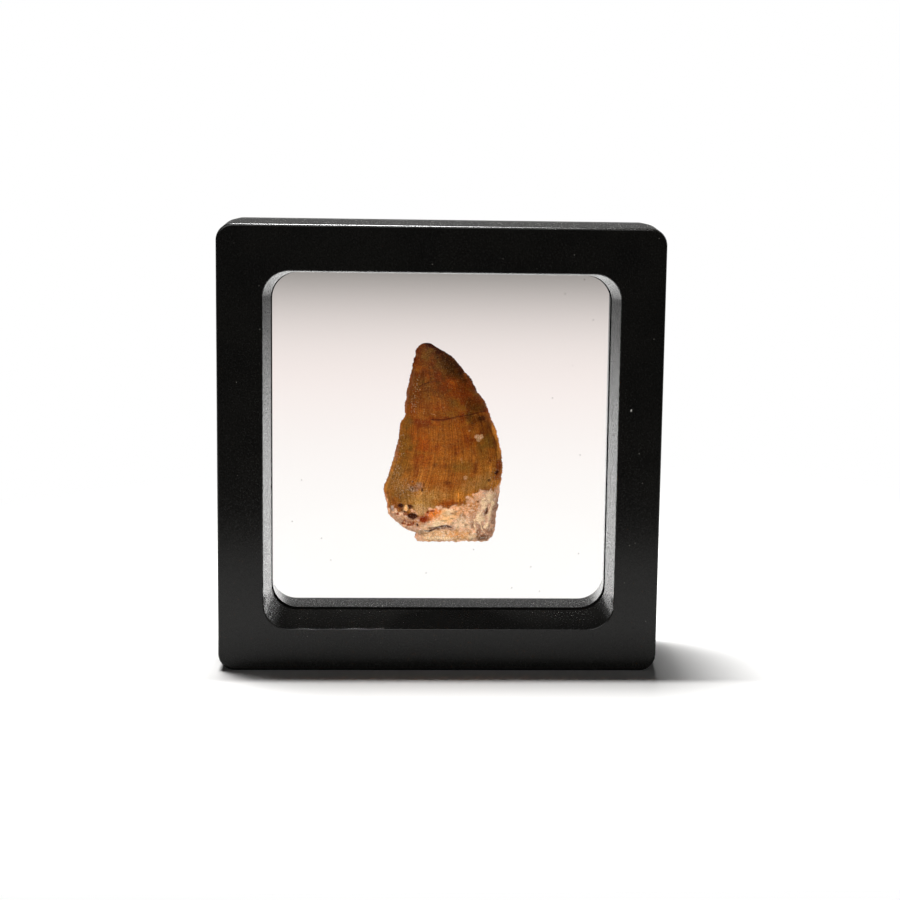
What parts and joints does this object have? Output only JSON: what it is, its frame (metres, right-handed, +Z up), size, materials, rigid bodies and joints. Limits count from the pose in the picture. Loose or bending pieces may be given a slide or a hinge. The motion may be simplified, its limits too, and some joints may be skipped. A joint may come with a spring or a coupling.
{
  "type": "fossil tooth in a display frame",
  "caption": "Fossil carcharodontosaurid tooth crown with amber enamel, held upright between clear elastic films in a square black display frame that opens like a book.",
  "frame": {"origin": "middle of the underside of the closed frame, hinge barrels included: on the surface that the frame stands on", "axes": "+Z up, +X to the right seen from the front, +Y from front to back; the hinges are at -X"},
  "size_m": [0.0912, 0.021, 0.0916],
  "materials": {
    "black_plastic": "finely grained, satin",
    "clear_film": "clear, glossy, elastic",
    "fossil_enamel": "amber enamel, fibrous, softly glossy"
  },
  "bodies": {
    "back": {"frame_back": "black_plastic", "film_back": "clear_film", "tooth": "fossil_enamel"},
    "front": {"frame_front": "black_plastic", "film_front": "clear_film"}
  },
  "joints": [
    {"name": "hinge", "type": "hinge", "parent": "back", "child": "front", "pos_m": [-0.04464, 0, 0.0458], "axis": [0, 0, -1], "range_deg": [0, 180]}
  ]
}
